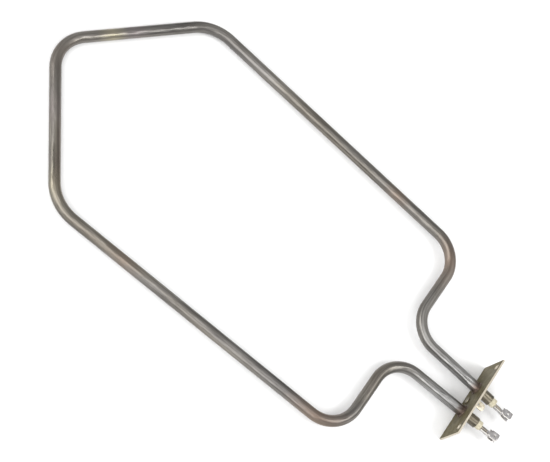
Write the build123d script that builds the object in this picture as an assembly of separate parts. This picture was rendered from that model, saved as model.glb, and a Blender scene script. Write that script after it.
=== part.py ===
from build123d import *
import math
import os

# Tubular heating element: a bent metal-sheathed loop brazed through a flange, with a ceramic
# bush, a pin and a folded twin tab at each end, and an earth tab riveted between the legs.
# Units are millimetres. The origin lies midway between the flange's fixing holes, on its
# mounting face, which looks along -Y to the terminals. X runs along the flange, +Y into the
# loop and +Z is up.

# Sheath: one seamless tube, bent flat
SHEATH_DIA = 8.5
SHEATH_WALL = 0.7
LEG_PITCH = 22.6            # between the legs, at the mounting face
NECK_PITCH = 27.0           # between the legs' lines, at the neck corners
NECK_Y = 68.5               # line of the two runs that step out to the hips
HIP_WIDTH = 180.0           # between the long runs' lines, at the hip corners
SHOULDER_WIDTH = 195.0      # between the long runs' lines, at the shoulder corners
SHOULDER_Y = 323.0
NOSE_Y = 399.5              # corner of the two runs that meet at the nose
NECK_RADIUS = 23.5          # all bend radii are to the centre line
HIP_RADIUS = 25.0
SHOULDER_RADIUS = 33.0
NOSE_RADIUS = 27.0
SHEATH_REACH = 12.2         # stands out past the mounting face
LEG_DROP = 12.2             # the loop lies this far below the fixing holes

# Inside the sheath
COLD_LENGTH = 45.0          # unheated pin inside the sheath
PIN_DIA = 2.5
SEAL_LENGTH = 5.0
FIT_GAP = 0.05              # radial clearance between nested pieces

# Ceramic end bush
BUSH_DIA = 6.9
BUSH_REACH = 4.0            # shows beyond the sheath
BUSH_SEATED = 4.0           # sits inside the sheath's mouth

# Flange
FIXING_PITCH = 58.0
FIXING_DIA = 4.5
FIXING_END = 6.3            # from the holes' centres to the flange's ends
FIXING_EDGE = 4.8           # from the holes' centres to the flange's top edge
FLANGE_LENGTH = FIXING_PITCH + 2 * FIXING_END
FLANGE_HEIGHT = 28.0
FLANGE_THICKNESS = 1.5
FLANGE_CORNER_RADIUS = 0.5
LEG_HOLE_CLEARANCE = 0.1    # radial
BRAZE_LEG = 1.1             # of the bead round each sheath
BRAZE_DEPTH = 0.5           # how far the bead is cut back to meet the leaning flange

# Folded twin tab
SHEET = 0.8
BASE_WIDTH = 5.0
BASE_LENGTH = 6.6
PIN_SHOWING = 0.9           # bare pin between the bush and the tab's base
PIN_IN_BASE = 5.0
FOLD_LENGTH = 1.6           # where the floor, the wall and the roof are all there
FOLD_RADIUS = 0.8
BLADE_WIDTH = 6.3
BLADE_LENGTH = 6.6
BLADE_SPLAY = 7.0
BLADE_SHOULDER = 0.5
BLADE_TIP_CHAMFER = 1.0
BLADE_HOLE_DIA = 1.65
LEFT_TAB_ROLL = -4.0
RIGHT_TAB_ROLL = -11.0

# Earth tab and its rivet
EARTH_WIDTH = 6.3
EARTH_REACH = 10.2
EARTH_BLADE_RISE = 3.5      # the blade stands this far above the legs
EARTH_FOOT_LENGTH = 11.0
EARTH_BEND_RADIUS = 1.2
EARTH_HOLE_DIA = 1.65
EARTH_HOLE_FROM_TIP = 5.6
RIVET_DIA = 3.0
RIVET_HEAD_DIA = 5.2
RIVET_HEAD_HEIGHT = 1.0
RIVET_FROM_FOOT_END = 4.2

SHEATH_BORE = SHEATH_DIA - 2 * SHEATH_WALL
LEG_SLOPE = (NECK_PITCH - LEG_PITCH) / 2 / NECK_Y
LEFT = -1
RIGHT = 1


def leg_x(side, y):
    """Distance of a leg's centre line from the middle, at a given height up the loop."""
    return side * (LEG_PITCH / 2 + LEG_SLOPE * y)


def leg_frame(side, y):
    """Frame on a leg's centre line: x across, y up and z out along the leg to the terminals."""
    outward = Vector(-side * LEG_SLOPE, -1, 0)
    return Plane(origin=(leg_x(side, y), y, -LEG_DROP), x_dir=(1, -side * LEG_SLOPE, 0), z_dir=outward)


def mouth_frame(side):
    """Frame at the mouth of the sheath."""
    return leg_frame(side, -SHEATH_REACH)


def loop_route(end_y):
    """Centre line of the bent tube, from the right leg at end_y round the nose to the left leg."""
    right_half = [
        (leg_x(RIGHT, end_y), end_y),
        (NECK_PITCH / 2, NECK_Y),
        (HIP_WIDTH / 2, NECK_Y),
        (SHOULDER_WIDTH / 2, SHOULDER_Y),
    ]
    left_half = [(-x, y) for x, y in reversed(right_half)]
    corners = right_half + [(0, NOSE_Y)] + left_half
    half_radii = [NECK_RADIUS, HIP_RADIUS, SHOULDER_RADIUS]
    radii = half_radii + [NOSE_RADIUS] + half_radii[::-1]
    points = [(x, y, -LEG_DROP) for x, y in corners]
    return FilletPolyline(*points, radius=radii)


def ring(outer_dia, inner_dia, start, length):
    """Round sleeve along local z."""
    section = Circle(outer_dia / 2) - Circle(inner_dia / 2)
    return Pos(0, 0, start) * extrude(section, length)


def bore(dia, depth):
    """Round bore from the mouth of the sheath inwards."""
    return Pos(0, 0, -depth) * extrude(Circle(dia / 2), depth)


def sheath_tube():
    """Bent sheath, solid with its packed powder and winding, and bored at its mouths.

    Each mouth is open to the sheath's bore for the bush and the seal, and beyond them the
    powder is bored for the pin.
    """
    section = leg_frame(RIGHT, -SHEATH_REACH) * Circle(SHEATH_DIA / 2)
    sheath = sweep(section, path=loop_route(-SHEATH_REACH))
    mouth = bore(SHEATH_BORE, BUSH_SEATED + SEAL_LENGTH)
    mouth += bore(PIN_DIA + 2 * FIT_GAP, COLD_LENGTH)
    for side in (LEFT, RIGHT):
        sheath -= mouth_frame(side).location * mouth
    return sheath


def terminal_pin(side):
    reach = BUSH_REACH + PIN_SHOWING + PIN_IN_BASE
    pin = Pos(0, 0, -COLD_LENGTH) * extrude(Circle(PIN_DIA / 2), COLD_LENGTH + reach)
    return mouth_frame(side).location * pin


def end_seal(side):
    """Resin plug that keeps damp out of the powder, under the bush."""
    start = -BUSH_SEATED - SEAL_LENGTH
    seal = ring(SHEATH_BORE - 2 * FIT_GAP, PIN_DIA + 2 * FIT_GAP, start, SEAL_LENGTH)
    return mouth_frame(side).location * seal


def end_bush(side):
    bush = ring(BUSH_DIA, PIN_DIA + 2 * FIT_GAP, -BUSH_SEATED, BUSH_SEATED + BUSH_REACH)
    return mouth_frame(side).location * bush


def tab_blade(rise, plan):
    """One splayed blade: a strip bent up or down where it leaves the fold, cut to its outline."""
    level = rise * (PIN_DIA + SHEET) / 2
    splay = math.radians(BLADE_SPLAY)
    root = BASE_LENGTH + FOLD_LENGTH
    tip_z = root + BLADE_LENGTH * math.cos(splay)
    tip_y = level + rise * BLADE_LENGTH * math.sin(splay)
    side_line = Polyline((level, root - FOLD_LENGTH / 2), (level, root), (tip_y, tip_z))
    strip = extrude(Plane.YZ * trace(side_line, SHEET), BLADE_WIDTH, both=True)
    return strip & plan


def blade_plan():
    """Outline of a blade seen from above: a neck, two shoulders and a chamfered tip."""
    root = BASE_LENGTH + FOLD_LENGTH
    tip = root + BLADE_LENGTH
    neck = BASE_WIDTH / 2
    half = BLADE_WIDTH / 2
    start = BASE_LENGTH
    right_side = [
        (neck, start),
        (neck, root),
        (half, root + BLADE_SHOULDER),
        (half, tip - BLADE_TIP_CHAMFER),
        (half - BLADE_TIP_CHAMFER, tip + SHEET),
    ]
    left_side = [(-x, z) for x, z in reversed(right_side)]
    outline = make_face(Polyline(*right_side, *left_side, close=True))
    outline -= Pos(0, root + BLADE_LENGTH / 2) * Circle(BLADE_HOLE_DIA / 2)
    sketch_plane = Plane(origin=(0, 0, 0), x_dir=(1, 0, 0), z_dir=(0, -1, 0))
    return extrude(sketch_plane * outline, BLADE_WIDTH, both=True)


def twin_tab():
    """Tab folded from one strip: a floor under the pin, a wall beside it and two blades."""
    level = (PIN_DIA + SHEET) / 2
    wall_x = -(BASE_WIDTH - SHEET) / 2
    free_x = BASE_WIDTH / 2
    fold_line = FilletPolyline(
        (free_x, -level), (wall_x, -level), (wall_x, level), (free_x, level), radius=FOLD_RADIUS
    )
    channel = extrude(trace(fold_line, SHEET), BASE_LENGTH + FOLD_LENGTH)
    roof = Box(2 * BASE_WIDTH, 2 * level, BASE_LENGTH, align=(Align.CENTER, Align.MIN, Align.MIN))
    channel -= Pos(0, level - FOLD_RADIUS, 0) * roof
    plan = blade_plan()
    return channel + tab_blade(1, plan) + tab_blade(-1, plan)


def terminal(side, roll):
    start = BUSH_REACH + PIN_SHOWING
    return mouth_frame(side).location * Pos(0, 0, start) * Rot(0, 0, roll) * twin_tab()


DRILL_LENGTH = 4 * (FLANGE_THICKNESS + SHEET)


def drill_along_y(dia):
    return Rot(90, 0, 0) * Cylinder(dia / 2, DRILL_LENGTH)


def flange_plate():
    blank = Box(FLANGE_LENGTH, FLANGE_THICKNESS, FLANGE_HEIGHT, align=(Align.CENTER, Align.MIN, Align.MAX))
    blank = Pos(0, 0, FIXING_EDGE) * blank
    blank = fillet(blank.edges().filter_by(Axis.Y), FLANGE_CORNER_RADIUS)
    leg_drill = Cylinder(SHEATH_DIA / 2 + LEG_HOLE_CLEARANCE, DRILL_LENGTH)
    for side in (LEFT, RIGHT):
        blank -= Pos(side * FIXING_PITCH / 2, 0, 0) * drill_along_y(FIXING_DIA)
        blank -= leg_frame(side, 0).location * leg_drill
    return blank - Pos(0, 0, RIVET_Z) * drill_along_y(RIVET_DIA + 2 * FIT_GAP)


def braze_fillet(side):
    """Sloping ring of braze where a leg goes into the flange."""
    inner = SHEATH_DIA / 2 + FIT_GAP
    toe = inner + BRAZE_LEG
    outline = Polyline((inner, -BRAZE_DEPTH), (toe, -BRAZE_DEPTH), (toe, 0), (inner, BRAZE_LEG), close=True)
    bead = revolve(make_face(Plane.XZ * outline), Axis.Z)
    frame = leg_frame(side, FLANGE_THICKNESS)
    bead = frame.location * Rot(180, 0, 0) * bead
    plate = Box(4 * toe, FLANGE_THICKNESS, 4 * toe, align=(Align.CENTER, Align.MIN, Align.CENTER))
    return bead - Pos(leg_x(side, 0), 0, -LEG_DROP) * plate


EARTH_BLADE_Z = EARTH_BLADE_RISE - LEG_DROP
FOOT_END_Z = EARTH_BLADE_Z + SHEET / 2 - EARTH_FOOT_LENGTH
RIVET_Z = FOOT_END_Z + RIVET_FROM_FOOT_END


def earth_tab():
    """Blade bent at a right angle from a foot that lies on the mounting face."""
    foot_y = -SHEET / 2
    side_line = FilletPolyline(
        (foot_y, FOOT_END_Z), (foot_y, EARTH_BLADE_Z), (-EARTH_REACH, EARTH_BLADE_Z), radius=EARTH_BEND_RADIUS
    )
    tab = extrude(Plane.YZ * trace(side_line, SHEET), EARTH_WIDTH / 2, both=True)
    tip_edges = tab.edges().filter_by(Axis.Z).group_by(Axis.Y)[0]
    tab = fillet(tip_edges, EARTH_WIDTH / 2 - SHEET)
    hole_y = -EARTH_REACH + EARTH_HOLE_FROM_TIP
    tab -= Pos(0, hole_y, EARTH_BLADE_Z) * Cylinder(EARTH_HOLE_DIA / 2, DRILL_LENGTH)
    return tab - Pos(0, 0, RIVET_Z) * drill_along_y(RIVET_DIA + 2 * FIT_GAP)


def earth_rivet():
    """Solid rivet: its made head on the loop side and its set head on the tab's foot."""
    grip = FLANGE_THICKNESS + SHEET
    made_head = Pos(0, 0, grip) * extrude(Circle(RIVET_HEAD_DIA / 2), RIVET_HEAD_HEIGHT)
    set_head = Pos(0, 0, -RIVET_HEAD_HEIGHT) * extrude(Circle(RIVET_HEAD_DIA / 2), RIVET_HEAD_HEIGHT)
    rivet = made_head + extrude(Circle(RIVET_DIA / 2), grip) + set_head
    return Pos(0, -SHEET, RIVET_Z) * Rot(-90, 0, 0) * rivet


def build():
    pieces = {
        "sheath_tube": sheath_tube(),
        "flange_plate": flange_plate(),
        "earth_tab": earth_tab(),
        "earth_rivet": earth_rivet(),
    }
    for name, side, roll in (("left", LEFT, LEFT_TAB_ROLL), ("right", RIGHT, RIGHT_TAB_ROLL)):
        pieces["pin_" + name] = terminal_pin(side)
        pieces["end_seal_" + name] = end_seal(side)
        pieces["end_bush_" + name] = end_bush(side)
        pieces["braze_fillet_" + name] = braze_fillet(side)
        pieces["twin_tab_" + name] = terminal(side, roll)
    return pieces


os.makedirs("parts", exist_ok=True)
for node, solid in build().items():
    export_step(solid, "parts/" + node + ".step")
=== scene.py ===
import math

import bpy
import numpy as np
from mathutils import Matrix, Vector
from mathutils.bvhtree import BVHTree


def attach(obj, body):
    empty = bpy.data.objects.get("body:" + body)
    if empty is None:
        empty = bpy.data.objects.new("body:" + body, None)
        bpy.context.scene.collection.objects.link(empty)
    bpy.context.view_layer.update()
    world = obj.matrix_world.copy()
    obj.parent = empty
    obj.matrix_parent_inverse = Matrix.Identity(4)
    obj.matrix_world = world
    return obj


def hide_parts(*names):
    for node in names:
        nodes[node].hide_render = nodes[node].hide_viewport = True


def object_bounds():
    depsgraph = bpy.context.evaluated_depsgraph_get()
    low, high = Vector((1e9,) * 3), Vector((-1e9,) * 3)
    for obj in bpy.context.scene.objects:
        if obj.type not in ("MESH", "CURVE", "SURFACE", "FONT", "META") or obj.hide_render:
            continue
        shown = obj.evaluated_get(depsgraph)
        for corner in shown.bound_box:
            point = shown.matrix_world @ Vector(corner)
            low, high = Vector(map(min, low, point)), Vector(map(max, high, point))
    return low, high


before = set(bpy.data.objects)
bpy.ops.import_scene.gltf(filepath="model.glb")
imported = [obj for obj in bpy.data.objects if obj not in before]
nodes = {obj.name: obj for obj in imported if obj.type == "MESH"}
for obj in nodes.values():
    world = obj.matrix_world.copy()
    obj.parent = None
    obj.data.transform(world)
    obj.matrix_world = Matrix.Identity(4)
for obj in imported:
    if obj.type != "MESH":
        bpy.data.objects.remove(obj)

cad_low, cad_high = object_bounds()

# Sheath: a seamless steel tube, drawn, filled with powder and bent flat into the loop. It keeps
# the dull grey-brown oxide of its heat treatment, with straw, mauve and rust tints along the
# runs, and a brown one beside the flange, where it was brazed. All sizes here are in metres.
sheath_radius = 0.00425
bore_radius = 0.00355
mouth_depth = 0.004
mouth_lip = 0.0002
sheath_reach = 0.0122
loop_z = -0.0122
leg_half_pitch = 0.0113
neck_half_pitch = 0.0135
neck_y = 0.0685
hip_x = 0.090
shoulder_x = 0.0975
shoulder_y = 0.323
nose_y = 0.3995
neck_bend = 0.0235
hip_bend = 0.025
shoulder_bend = 0.033
nose_bend = 0.027
bend_steps = 22
tube_sides = 48
merge_distance = 1e-6
smooth_below = math.radians(40)

leg_slope = (neck_half_pitch - leg_half_pitch) / neck_y
mouth_x = leg_half_pitch - leg_slope * sheath_reach
right_corners = [
    (mouth_x, -sheath_reach),
    (neck_half_pitch, neck_y),
    (hip_x, neck_y),
    (shoulder_x, shoulder_y),
]
corners = [Vector((x, y, loop_z)) for x, y in right_corners]
corners.append(Vector((0, nose_y, loop_z)))
corners += [Vector((-x, y, loop_z)) for x, y in right_corners[::-1]]
side_bends = [neck_bend, hip_bend, shoulder_bend]
bend_radii = side_bends + [nose_bend] + side_bends[::-1]

# The loop as straight runs ("run", start, heading, length) joined by true bends
# ("bend", start, heading, centre, turn, radius), from the right mouth to the left one.
stretches = []
place = corners[0].copy()
heading = (corners[1] - corners[0]).normalized()
for corner, after, radius in zip(corners[1:], corners[2:], bend_radii):
    next_heading = (after - corner).normalized()
    turn = math.atan2(heading.cross(next_heading).z, heading.dot(next_heading))
    setback = radius * math.tan(abs(turn) / 2)
    bend_start = corner - heading * setback
    stretches.append(("run", place, heading, (bend_start - place).length))
    side = Vector((0, 0, math.copysign(1, turn))).cross(heading)
    stretches.append(("bend", bend_start, heading, bend_start + side * radius, turn, radius))
    place = corner + next_heading * setback
    heading = next_heading
stretches.append(("run", place, heading, (corners[-1] - place).length))

bpy.ops.object.select_all(action="DESELECT")
first_heading = stretches[0][2]
bpy.ops.mesh.primitive_circle_add(vertices=tube_sides, radius=bore_radius, fill_type="NOTHING",
                                  location=corners[0] + first_heading * mouth_depth)
sheath = bpy.context.object
sheath.name = "sheath"
sheath.rotation_mode = "QUATERNION"
sheath.rotation_quaternion = first_heading.to_track_quat("Z", "X")
bpy.ops.object.transform_apply(location=True, rotation=True, scale=True)
bpy.ops.object.mode_set(mode="EDIT")
bpy.ops.mesh.select_all(action="SELECT")


def ring_on(step):
    """Carries the open ring on by a step, leaving a new band of faces behind."""
    bpy.ops.mesh.extrude_region_move(TRANSFORM_OT_translate={"value": tuple(step)})


def ring_wider(centre, factor, step=Vector((0, 0, 0))):
    ring_on(step)
    bpy.ops.transform.resize(value=(factor,) * 3, center_override=tuple(centre))


mouth = corners[0]
inner_lip = bore_radius + mouth_lip
outer_lip = sheath_radius - mouth_lip
ring_on(-first_heading * (mouth_depth - mouth_lip))
ring_wider(mouth, inner_lip / bore_radius, -first_heading * mouth_lip)
ring_wider(mouth, outer_lip / inner_lip)
lip_step = first_heading * mouth_lip
ring_wider(mouth + lip_step, sheath_radius / outer_lip, lip_step)
for stretch in stretches:
    if stretch[0] == "run":
        length = stretch[3]
        if stretch in (stretches[0], stretches[-1]):
            length -= mouth_lip
        ring_on(stretch[2] * length)
    else:
        centre, turn = stretch[3], stretch[4]
        bpy.ops.mesh.spin(steps=bend_steps, angle=-turn, center=tuple(centre), axis=(0, 0, 1))
mouth = corners[-1]
last_heading = stretches[-1][2]
lip_step = last_heading * mouth_lip
ring_wider(mouth, outer_lip / sheath_radius, lip_step)
ring_wider(mouth, inner_lip / outer_lip)
ring_wider(mouth - lip_step, bore_radius / inner_lip, -lip_step)
ring_on(-last_heading * (mouth_depth - mouth_lip))
bpy.ops.mesh.select_all(action="SELECT")
bpy.ops.mesh.remove_doubles(threshold=merge_distance)
bpy.ops.mesh.normals_make_consistent(inside=False)
bpy.ops.object.mode_set(mode="OBJECT")
bpy.ops.object.shade_smooth_by_angle(angle=smooth_below)

# Every point of the tube learns how far along the loop it is, how far to the left of the tube's
# middle and how far above it, so that the surface pattern follows the bends.
points = np.array([v.co[:] for v in sheath.data.vertices])
height = points[:, 2] - loop_z
clearly_less = 1e-7
least_off = np.full(len(points), np.inf)
route = np.zeros((len(points), 3))
loop_length = 0.0
for stretch in stretches:
    start, ahead = np.array(stretch[1]), np.array(stretch[2])
    if stretch[0] == "run":
        length = stretch[3]
        away = points - start
        reach = away @ ahead
        along = np.clip(reach, 0, length)
        across = away @ np.array((-ahead[1], ahead[0], 0))
        astray = np.maximum(-reach, reach - length).clip(0)
    else:
        centre, turn, radius = np.array(stretch[3]), stretch[4], stretch[5]
        length = abs(turn) * radius
        sense = math.copysign(1, turn)
        begin = start - centre
        out = points - centre
        out[:, 2] = 0
        sweep = begin[0] * out[:, 1] - begin[1] * out[:, 0]
        angle = np.arctan2(sweep, out @ begin) * sense
        along = np.clip(angle, 0, abs(turn)) * radius
        across = (radius - np.linalg.norm(out, axis=1)) * sense
        astray = np.minimum(np.abs(angle), np.abs(angle - abs(turn))) * radius
        astray[(angle >= 0) & (angle <= abs(turn))] = 0
    off = np.hypot(across, height) + astray
    nearer = off < least_off - clearly_less
    least_off[nearer] = off[nearer]
    route[nearer] = np.stack((loop_length + along, across, height), axis=1)[nearer]
    loop_length += length
attribute = sheath.data.attributes.new("route", "FLOAT_VECTOR", "POINT")
attribute.data.foreach_set("vector", route.astype(np.float32).ravel())

oxide = bpy.data.materials.new("oxidised_sheath")
oxide.use_nodes = True


def shader_of(material):
    return material.node_tree.nodes["Principled BSDF"]


def add_node(tree, kind, **settings):
    """A shader node with its settings, where a name that is no setting is an input."""
    made = tree.nodes.new("ShaderNode" + kind)
    for name, value in settings.items():
        if hasattr(made, name):
            setattr(made, name, value)
        else:
            made.inputs[name.replace("_", " ")].default_value = value
    return made


def feed(output, target, socket):
    target.id_data.links.new(output, target.inputs[socket])


def band(grey, stops):
    """A colour for each grey value, blended between the stops."""
    ramp = add_node(grey.node.id_data, "ValToRGB")
    elements = ramp.color_ramp.elements
    while len(elements) < len(stops):
        elements.new(0.5)
    for element, (position, colour) in zip(elements, stops):
        element.position = position
        element.color = (*colour, 1)
    feed(grey, ramp, "Fac")
    return ramp.outputs["Color"]


def mixed(first, second, amount, mode="MIX"):
    """Mixes a linked colour with a linked or plain one, by a linked or plain amount."""
    mix = add_node(first.node.id_data, "Mix", data_type="RGBA", blend_type=mode)
    amount_socket, first_socket, second_socket = mix.inputs[0], mix.inputs[6], mix.inputs[7]
    for value, socket in ((amount, amount_socket), (first, first_socket), (second, second_socket)):
        if isinstance(value, tuple):
            socket.default_value = (*value, 1)
        elif isinstance(value, float):
            socket.default_value = value
        else:
            mix.id_data.links.new(value, socket)
    return mix.outputs[2]


def shaded(colour, shade):
    return mixed(colour, shade, 1.0, "MULTIPLY")


def added(first, second):
    total = add_node(first.node.id_data, "Math", operation="ADD")
    feed(first, total, 0)
    feed(second, total, 1)
    return total.outputs["Value"]


def fading(value, full, faded, amount=1.0):
    """The amount where a value is at full, falling evenly to nothing where it is at faded."""
    ranged = add_node(value.node.id_data, "MapRange", From_Min=full, From_Max=faded,
                      To_Min=amount, To_Max=0.0)
    feed(value, ranged, "Value")
    return ranged.outputs["Result"]


def route_noise(scale, detail, roughness, shift=0.0):
    """Noise drawn out along the tube: scales are per metre along, across and up."""
    mapping = add_node(oxide.node_tree, "Mapping", Scale=scale, Location=(shift, 0, 0))
    feed(route_node.outputs["Vector"], mapping, "Vector")
    noise = add_node(oxide.node_tree, "TexNoise", Scale=1.0, Detail=detail, Roughness=roughness)
    feed(mapping.outputs["Vector"], noise, "Vector")
    return noise.outputs["Fac"]


route_node = add_node(oxide.node_tree, "Attribute", attribute_name="route")
drawn_lines = route_noise(scale=(10, 800, 800), detail=4.0, roughness=0.6)
patches = route_noise(scale=(26, 150, 150), detail=5.0, roughness=0.62)
blotches = route_noise(scale=(9, 60, 60), detail=3.0, roughness=0.5, shift=3.1)
dents = route_noise(scale=(60, 220, 220), detail=2.0, roughness=0.5)
oxide_colour = band(patches, [
    (0.30, (0.116, 0.108, 0.098)),
    (0.50, (0.160, 0.150, 0.137)),
    (0.68, (0.206, 0.196, 0.182)),
])
blotch_shade = band(blotches, [
    (0.30, (0.84, 0.85, 0.89)),
    (0.45, (1.0, 1.0, 1.0)),
    (0.58, (1.0, 0.97, 0.90)),
    (0.72, (1.0, 0.90, 0.84)),
])
line_shade = band(drawn_lines, [
    (0.38, (0.64, 0.64, 0.64)),
    (0.50, (1.0, 1.0, 1.0)),
    (0.63, (1.30, 1.30, 1.30)),
])
surface = shaded(shaded(oxide_colour, blotch_shade), line_shade)

# Heat tints left by use: how far from the nose, with the left leg's side positive, how far to
# each side the tint reaches, its colour and its strength.
straw = (0.42, 0.38, 0.25)
rust = (0.215, 0.150, 0.110)
brown = (0.165, 0.142, 0.120)
mauve = (0.20, 0.172, 0.175)
heat_tints = [
    (-0.376, 0.030, rust, 0.60),
    (-0.306, 0.014, rust, 0.40),
    (-0.056, 0.012, mauve, 0.50),
    (-0.039, 0.012, straw, 0.42),
    (0.006, 0.034, brown, 0.60),
    (0.050, 0.018, mauve, 0.35),
    (0.108, 0.016, straw, 0.16),
    (0.179, 0.018, rust, 0.35),
    (0.352, 0.030, rust, 0.55),
]
along_loop = add_node(oxide.node_tree, "SeparateXYZ")
feed(route_node.outputs["Vector"], along_loop, "Vector")


def near_place(from_nose, full, faded, amount):
    """An amount that fades out on both sides of a place on the loop."""
    offset = add_node(oxide.node_tree, "Math", operation="SUBTRACT")
    feed(along_loop.outputs["X"], offset, 0)
    offset.inputs[1].default_value = loop_length / 2 + from_nose
    apart = add_node(oxide.node_tree, "Math", operation="ABSOLUTE")
    feed(offset.outputs["Value"], apart, 0)
    return fading(apart.outputs["Value"], full, faded, amount)


for from_nose, half_length, tint, strength in heat_tints:
    near_tint = near_place(from_nose, full=0.0, faded=half_length, amount=strength)
    surface = mixed(surface, tint, near_tint)

# The legs never glow, so they stay a cleaner grey up to the first bend. They are rust-brown
# beside the flange, and darker, browner and streaked outside it.
brazing_brown = (0.185, 0.120, 0.095)
sheath_place = add_node(oxide.node_tree, "TexCoord")
from_flange = add_node(oxide.node_tree, "SeparateXYZ")
feed(sheath_place.outputs["Object"], from_flange, "Vector")
leg_y = from_flange.outputs["Y"]
cold_colour = band(patches, [(0.30, (0.150, 0.147, 0.141)), (0.68, (0.270, 0.267, 0.262))])
cold_legs = fading(leg_y, full=0.030, faded=0.075)
surface = mixed(surface, shaded(cold_colour, line_shade), cold_legs)
beside_flange = fading(leg_y, full=0.0025, faded=0.0085, amount=0.8)
surface = mixed(surface, brazing_brown, beside_flange)
end_colour = band(patches, [(0.35, (0.080, 0.070, 0.050)), (0.65, (0.205, 0.182, 0.138))])
outside_flange = fading(leg_y, full=0.0, faded=0.0015)
surface = mixed(surface, shaded(end_colour, line_shade), outside_flange)
oxide_shader = shader_of(oxide)
feed(surface, oxide_shader, "Base Color")
oxide_shader.inputs["Metallic"].default_value = 0.92

# The oxide is uneven, and is rubbed smoother on the cold legs, on the right run beside the nose
# and at the left shoulder.
patch_roughness = add_node(oxide.node_tree, "MapRange", From_Min=0.3, From_Max=0.7,
                           To_Min=0.34, To_Max=0.52)
feed(patches, patch_roughness, "Value")
leg_rub = add_node(oxide.node_tree, "MapRange", To_Min=0.0, To_Max=-0.12)
feed(cold_legs, leg_rub, "Value")
nose_rub = near_place(from_nose=-0.055, full=0.045, faded=0.075, amount=-0.12)
shoulder_rub = near_place(from_nose=0.098, full=0.018, faded=0.038, amount=-0.13)
roughness = patch_roughness.outputs["Result"]
for rub in (leg_rub.outputs["Result"], nose_rub, shoulder_rub):
    roughness = added(roughness, rub)
feed(roughness, oxide_shader, "Roughness")

# Relief: the fine grooves of drawing, the slow waves that bending leaves, and a few dings.
grooves = add_node(oxide.node_tree, "Bump", Strength=0.5, Distance=0.00005)
feed(drawn_lines, grooves, "Height")
waves = add_node(oxide.node_tree, "Bump", Strength=0.8, Distance=0.0009)
feed(dents, waves, "Height")
feed(grooves.outputs["Normal"], waves, "Normal")
ding_map = add_node(oxide.node_tree, "Mapping", Scale=(34, 95, 95))
feed(route_node.outputs["Vector"], ding_map, "Vector")
ding_cells = add_node(oxide.node_tree, "TexVoronoi", Scale=1.0)
feed(ding_map.outputs["Vector"], ding_cells, "Vector")
dings = add_node(oxide.node_tree, "Bump", Strength=0.7, Distance=0.00012, invert=True)
feed(fading(ding_cells.outputs["Distance"], full=0.06, faded=0.16), dings, "Height")
feed(waves.outputs["Normal"], dings, "Normal")
feed(dings.outputs["Normal"], oxide_shader, "Normal")
sheath.data.materials.append(oxide)
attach(sheath, "root")
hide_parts("sheath_tube")

# Flange: a plate sheared from 1.5 mm steel sheet and punched, zinc plated and passivated to an
# olive. Its sheared edges and the walls of its holes are far brighter than its faces, partly as
# painted light. Round the legs it is darkened, partly as brazing scorch and partly as painted shade.
plate_gauge = 0.0015
flange_rounding = 0.00012
scorch_and_shade_reach = 2.2 * sheath_radius
scorch_and_shade_brown = (0.060, 0.042, 0.028)
flat_enough = math.radians(1.5)
smooth_edge = math.radians(32)
sharp_edge = math.radians(40)


def softened(node, width):
    """A merged copy of a node with its sharp edges rounded."""
    bpy.ops.object.select_all(action="DESELECT")
    copy = nodes[node].copy()
    copy.data = nodes[node].data.copy()
    copy.parent = None
    for key in list(copy.keys()):
        del copy[key]
    bpy.context.collection.objects.link(copy)
    bpy.context.view_layer.objects.active = copy
    copy.select_set(True)
    bpy.ops.object.mode_set(mode="EDIT")
    bpy.ops.mesh.select_all(action="SELECT")
    bpy.ops.mesh.remove_doubles(threshold=merge_distance)
    bpy.ops.mesh.dissolve_limited(angle_limit=flat_enough)
    bpy.ops.object.mode_set(mode="OBJECT")
    rounding = copy.modifiers.new("edges", "BEVEL")
    rounding.width = width
    rounding.segments = 2
    rounding.limit_method = "ANGLE"
    rounding.angle_limit = sharp_edge
    bpy.ops.object.modifier_apply(modifier=rounding.name)
    bpy.ops.object.shade_smooth_by_angle(angle=smooth_edge)
    copy.data.materials.clear()
    return copy


def dress(piece, name, node, slot, *materials):
    piece.name = name
    for material in materials:
        piece.data.materials.append(material)
    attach(piece, "root")
    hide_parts(node)


def bare_edges(piece, gauge):
    """Gives the second material to the cut edges: behind them the sheet is deeper than its gauge."""
    mesh = piece.data
    solid = BVHTree.FromPolygons([v.co for v in mesh.vertices], [p.vertices for p in mesh.polygons])
    just_under = gauge * 0.01
    edge_depth = gauge * 1.2
    mesh.calc_loop_triangles()
    edge_area = np.zeros(len(mesh.polygons))
    for triangle in mesh.loop_triangles:
        middle = sum((mesh.vertices[i].co for i in triangle.vertices), Vector()) / 3
        depth = solid.ray_cast(middle - triangle.normal * just_under, -triangle.normal)[3]
        is_edge = depth is None or depth > edge_depth
        edge_area[triangle.polygon_index] += triangle.area if is_edge else -triangle.area
    for face, area in zip(mesh.polygons, edge_area):
        face.material_index = int(area > 0)


def new_material(name, metallic, roughness):
    made = bpy.data.materials.new(name)
    made.use_nodes = True
    shader_of(made).inputs["Metallic"].default_value = metallic
    shader_of(made).inputs["Roughness"].default_value = roughness
    return made


def mottled(material, grain, stops, relief, relief_depth=0.0001):
    """Colours a finish and makes it fine-grained, with grains per metre; returns the colour."""
    tree = material.node_tree
    place = add_node(tree, "TexCoord")
    noise = add_node(tree, "TexNoise", Scale=grain, Detail=5.0, Roughness=0.6)
    feed(place.outputs["Object"], noise, "Vector")
    colour = band(noise.outputs["Fac"], stops)
    feed(colour, shader_of(material), "Base Color")
    bump = add_node(tree, "Bump", Strength=relief, Distance=relief_depth)
    feed(noise.outputs["Fac"], bump, "Height")
    feed(bump.outputs["Normal"], shader_of(material), "Normal")
    return colour


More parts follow.
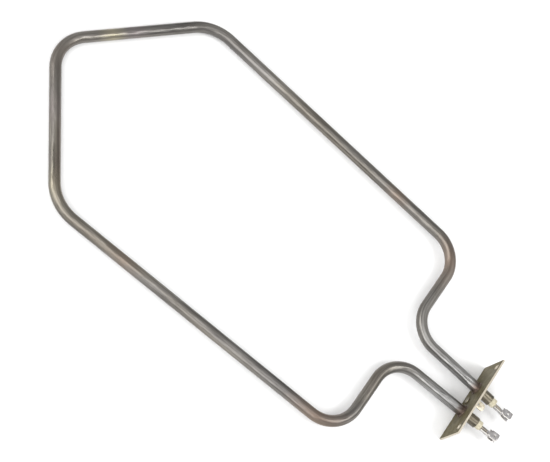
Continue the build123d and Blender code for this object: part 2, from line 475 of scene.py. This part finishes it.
zinc = new_material("passivated_zinc", metallic=0.35, roughness=0.5)
shader_of(zinc).inputs["Specular IOR Level"].default_value = 0.15
zinc_colour = mottled(zinc, 240, [
    (0.3, (0.080, 0.067, 0.034)),
    (0.5, (0.112, 0.096, 0.052)),
    (0.7, (0.150, 0.131, 0.080)),
], relief=0.12)
from_legs = add_node(zinc.node_tree, "TexCoord")
leg_level = add_node(zinc.node_tree, "Mapping", Location=(0, 0, -loop_z))
feed(from_legs.outputs["Object"], leg_level, "Vector")
either_side = add_node(zinc.node_tree, "VectorMath", operation="ABSOLUTE")
feed(leg_level.outputs["Vector"], either_side, 0)
leg_distance = add_node(zinc.node_tree, "VectorMath", operation="DISTANCE")
feed(either_side.outputs["Vector"], leg_distance, 0)
leg_distance.inputs[1].default_value = (leg_half_pitch, 0, 0)
# Round each leg: a darker brown ring, partly brazing scorch and partly painted shade where tube
# meets plate.
scorch_and_shade = fading(leg_distance.outputs["Value"], full=sheath_radius, faded=scorch_and_shade_reach, amount=0.6)
feed(mixed(zinc_colour, scorch_and_shade_brown, scorch_and_shade), shader_of(zinc), "Base Color")
# Sheared edges and hole walls: lighter than the faces, partly as painted light on the lit edges.
sheared_zinc_and_painted_light = new_material("sheared_zinc_and_painted_light", metallic=0.35, roughness=0.45)
mottled(sheared_zinc_and_painted_light, 900, [(0.3, (0.39, 0.345, 0.275)), (0.6, (0.46, 0.42, 0.345))], relief=0.2)
flange = softened("flange_plate", flange_rounding)
dress(flange, "flange", "flange_plate", "plated_steel", zinc, sheared_zinc_and_painted_light)
bare_edges(flange, plate_gauge)

# Braze: a bead of silver-bearing alloy run round each leg where it passes the flange. The flame
# leaves it nearly black.
bead_rounding = 0.0002
braze = new_material("dark_braze", metallic=0.6, roughness=0.5)
mottled(braze, 900, [(0.35, (0.030, 0.022, 0.016)), (0.6, (0.110, 0.075, 0.055))],
        relief=0.5, relief_depth=0.0002)
for side in ("left", "right"):
    bead = softened("braze_fillet_" + side, bead_rounding)
    dress(bead, "braze_bead_" + side, "braze_fillet_" + side, "braze_alloy", braze)

# Earth tab: a blade stamped from 0.8 mm brass strip, bent at its foot and tinned. Its foot is
# riveted to the flange between the legs, and its cut edges show the brass.
tab_gauge = 0.0008
earth_rounding = 0.0001
tinned = new_material("tinned_brass", metallic=0.6, roughness=0.48)
mottled(tinned, 500, [
    (0.3, (0.40, 0.35, 0.24)),
    (0.5, (0.55, 0.50, 0.39)),
    (0.7, (0.68, 0.64, 0.56)),
], relief=0.15)
cut_brass = new_material("cut_brass", metallic=0.6, roughness=0.4)
mottled(cut_brass, 900, [(0.3, (0.26, 0.205, 0.12)), (0.6, (0.38, 0.32, 0.22))], relief=0.2)
earth = softened("earth_tab", earth_rounding)
dress(earth, "earth_blade", "earth_tab", "tinned_brass", tinned, cut_brass)
bare_edges(earth, tab_gauge)

# Rivet: a plated steel rivet through the flange and the earth tab's foot. Its snap head is on
# the loop's side, and its other end is set over the foot.
head_rounding = 0.0007
rivet_plate = new_material("plated_rivet", metallic=0.75, roughness=0.26)
mottled(rivet_plate, 700, [(0.3, (0.17, 0.15, 0.10)), (0.6, (0.28, 0.255, 0.19))], relief=0.15)
rivet = softened("earth_rivet", head_rounding)
dress(rivet, "rivet", "earth_rivet", "rivet_steel", rivet_plate)

# End bushes: pressed and fired steatite, ivory and unglazed, one in each mouth of the sheath.
# They keep the pin clear of the sheath's wall.
bush_rounding = 0.0003
ivory = new_material("fired_steatite", metallic=0.0, roughness=0.55)
mottled(ivory, 700, [
    (0.3, (0.37, 0.33, 0.22)),
    (0.55, (0.50, 0.46, 0.34)),
    (0.75, (0.60, 0.565, 0.46)),
], relief=0.2)
for side in ("left", "right"):
    bush = softened("end_bush_" + side, bush_rounding)
    dress(bush, "bush_" + side, "end_bush_" + side, "bush_ceramic", ivory)

# Pins: drawn steel rods that carry the current from the tabs through bush, seal and powder to
# the winding. They are bare between bush and tab, and their steel is darkened as painted shade.
# The pins' colour is painted dark: painted shade inside the tabs' folds.
pin_steel_in_painted_shade = new_material("drawn_pin_in_painted_shade", metallic=0.9, roughness=0.35)
mottled(pin_steel_in_painted_shade, 1200, [(0.3, (0.12, 0.105, 0.085)), (0.6, (0.24, 0.215, 0.18))], relief=0.2)


def coat(node, material):
    """Gives its finish to a node that keeps its own mesh."""
    nodes[node].data.materials.clear()
    nodes[node].data.materials.append(material)


for side in ("left", "right"):
    coat("pin_" + side, pin_steel_in_painted_shade)

# Seals: resin poured round each pin, under its bush, to keep damp out of the powder. They are
# out of sight.
resin = new_material("seal_resin", metallic=0.0, roughness=0.6)
mottled(resin, 900, [(0.3, (0.30, 0.24, 0.16)), (0.6, (0.42, 0.34, 0.24))], relief=0.1)
for side in ("left", "right"):
    coat("end_seal_" + side, resin)

# Twin tabs: nickel-plated steel strip, folded round each pin and spot-welded to it, with two
# splayed blades for push-on receptacles. The strip's cut edges are painted near white, as a
# highlight.
fold_rounding = 0.00022
nickel = new_material("plated_tab", metallic=0.85, roughness=0.3)
mottled(nickel, 420, [
    (0.3, (0.26, 0.246, 0.240)),
    (0.5, (0.42, 0.405, 0.400)),
    (0.7, (0.58, 0.565, 0.565)),
], relief=0.15)
# Cut edges: painted near white, a painted highlight on the lit edges of the strip.
cut_nickel_and_highlight = new_material("cut_tab_and_highlight", metallic=0.5, roughness=0.4)
mottled(cut_nickel_and_highlight, 900, [(0.3, (0.78, 0.75, 0.69)), (0.6, (0.90, 0.875, 0.82))], relief=0.15)
for side in ("left", "right"):
    tab = softened("twin_tab_" + side, fold_rounding)
    dress(tab, "terminal_" + side, "twin_tab_" + side, "tab_steel", nickel, cut_nickel_and_highlight)
    bare_edges(tab, tab_gauge)

# Camera: a long lens that looks down on the loop from its left, and is turned so that the
# terminals come to the lower right of the picture.
camera_place = (-0.5083, 0.3000, 0.9159)
camera_turns = (19.192, -22.477, -54.299)
sensor_width_mm = 36
lens_mm = 96.31
bpy.ops.object.camera_add(location=camera_place)
camera = bpy.context.object
camera.rotation_euler = [math.radians(turn) for turn in camera_turns]
camera.data.sensor_width = sensor_width_mm
camera.data.lens = lens_mm
camera.data.clip_end = 20
bpy.context.scene.camera = camera

# Light: a broad soft box over the camera, which throws each shadow behind the part, three
# smaller ones that draw the highlights along the tube, and a pale even room.
loop_middle = Vector((0, 0.2, 0))


def soft_box(name, towards, distance, size, power):
    """A lamp in the given direction from the loop's middle, facing it."""
    lamp_place = loop_middle + Vector(towards).normalized() * distance
    bpy.ops.object.light_add(type="AREA", location=lamp_place)
    box = bpy.context.object
    box.name = name
    box.rotation_euler = (loop_middle - box.location).to_track_quat("-Z", "Y").to_euler()
    box.data.size = size
    box.data.energy = power


soft_box("overhead_box", towards=(-0.60, 0.24, 0.76), distance=2.0, size=2.0, power=36)
soft_box("front_box", towards=(0.10, -0.55, 0.75), distance=1.7, size=0.7, power=11)
soft_box("left_box", towards=(-0.70, -0.28, 0.66), distance=1.7, size=0.5, power=4.5)
soft_box("back_box", towards=(-0.36, 0.86, 0.34), distance=1.7, size=0.9, power=11)
room = bpy.data.worlds.new("room")
room.use_nodes = True
room_light = room.node_tree.nodes["Background"]
room_light.inputs["Color"].default_value = (1, 1, 1, 1)
room_light.inputs["Strength"].default_value = 0.68
bpy.context.scene.world = room
bpy.context.scene.view_settings.view_transform = "Standard"

# Floor: a plain pale table. The part stands on the flange's lower edge and on the underside of
# the nose, which is higher, so the table leans to the part.
table_size = 6
table_gap = 0.00006
flange_foot = cad_low[2]
nose_foot = loop_z - sheath_radius
nose_foot_y = cad_high[1] - sheath_radius
table_rise = math.atan((nose_foot - flange_foot) / nose_foot_y)
bpy.ops.mesh.primitive_plane_add(size=table_size, location=(0, 0, flange_foot - table_gap))
floor = bpy.context.object
floor.name = "floor"
floor.rotation_euler = (table_rise, 0, 0)
table_paint = new_material("pale_table", metallic=0.0, roughness=0.8)
mottled(table_paint, 3, [(0.3, (0.80, 0.80, 0.80)), (0.7, (0.82, 0.82, 0.82))], relief=0.0)
floor.data.materials.append(table_paint)

bpy.context.view_layer.update()
